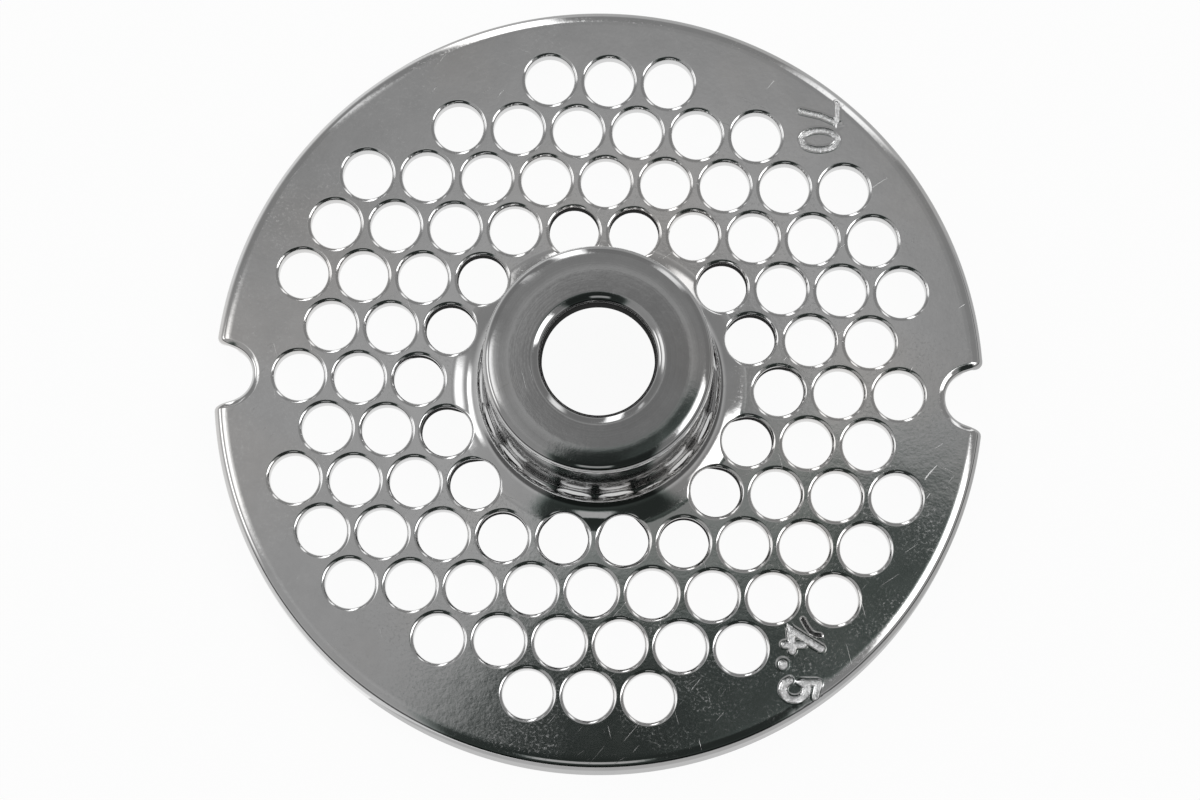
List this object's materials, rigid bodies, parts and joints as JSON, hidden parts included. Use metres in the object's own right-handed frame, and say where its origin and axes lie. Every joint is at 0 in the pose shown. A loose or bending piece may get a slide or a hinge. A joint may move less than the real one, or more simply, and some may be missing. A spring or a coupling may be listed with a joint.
{
  "type": "meat grinder plate",
  "caption": "Round perforated grinder plate of pressed sheet steel, with a hollow central hub, a turned-down rim and two locating notches.",
  "frame": {"origin": "on the bore's axis, in the plane of the skirt's lower edge, on which the plate rests", "axes": "+Z along the bore's axis out through the hub, +X through one of the two rim notches, +Y in the plate's plane across them"},
  "size_m": [0.0696, 0.07, 0.0185],
  "materials": {
    "polished_steel": "polished stainless steel with fine wear scratches"
  },
  "bodies": {
    "root": {"grinder_plate": "polished_steel"}
  },
  "joints": []
}
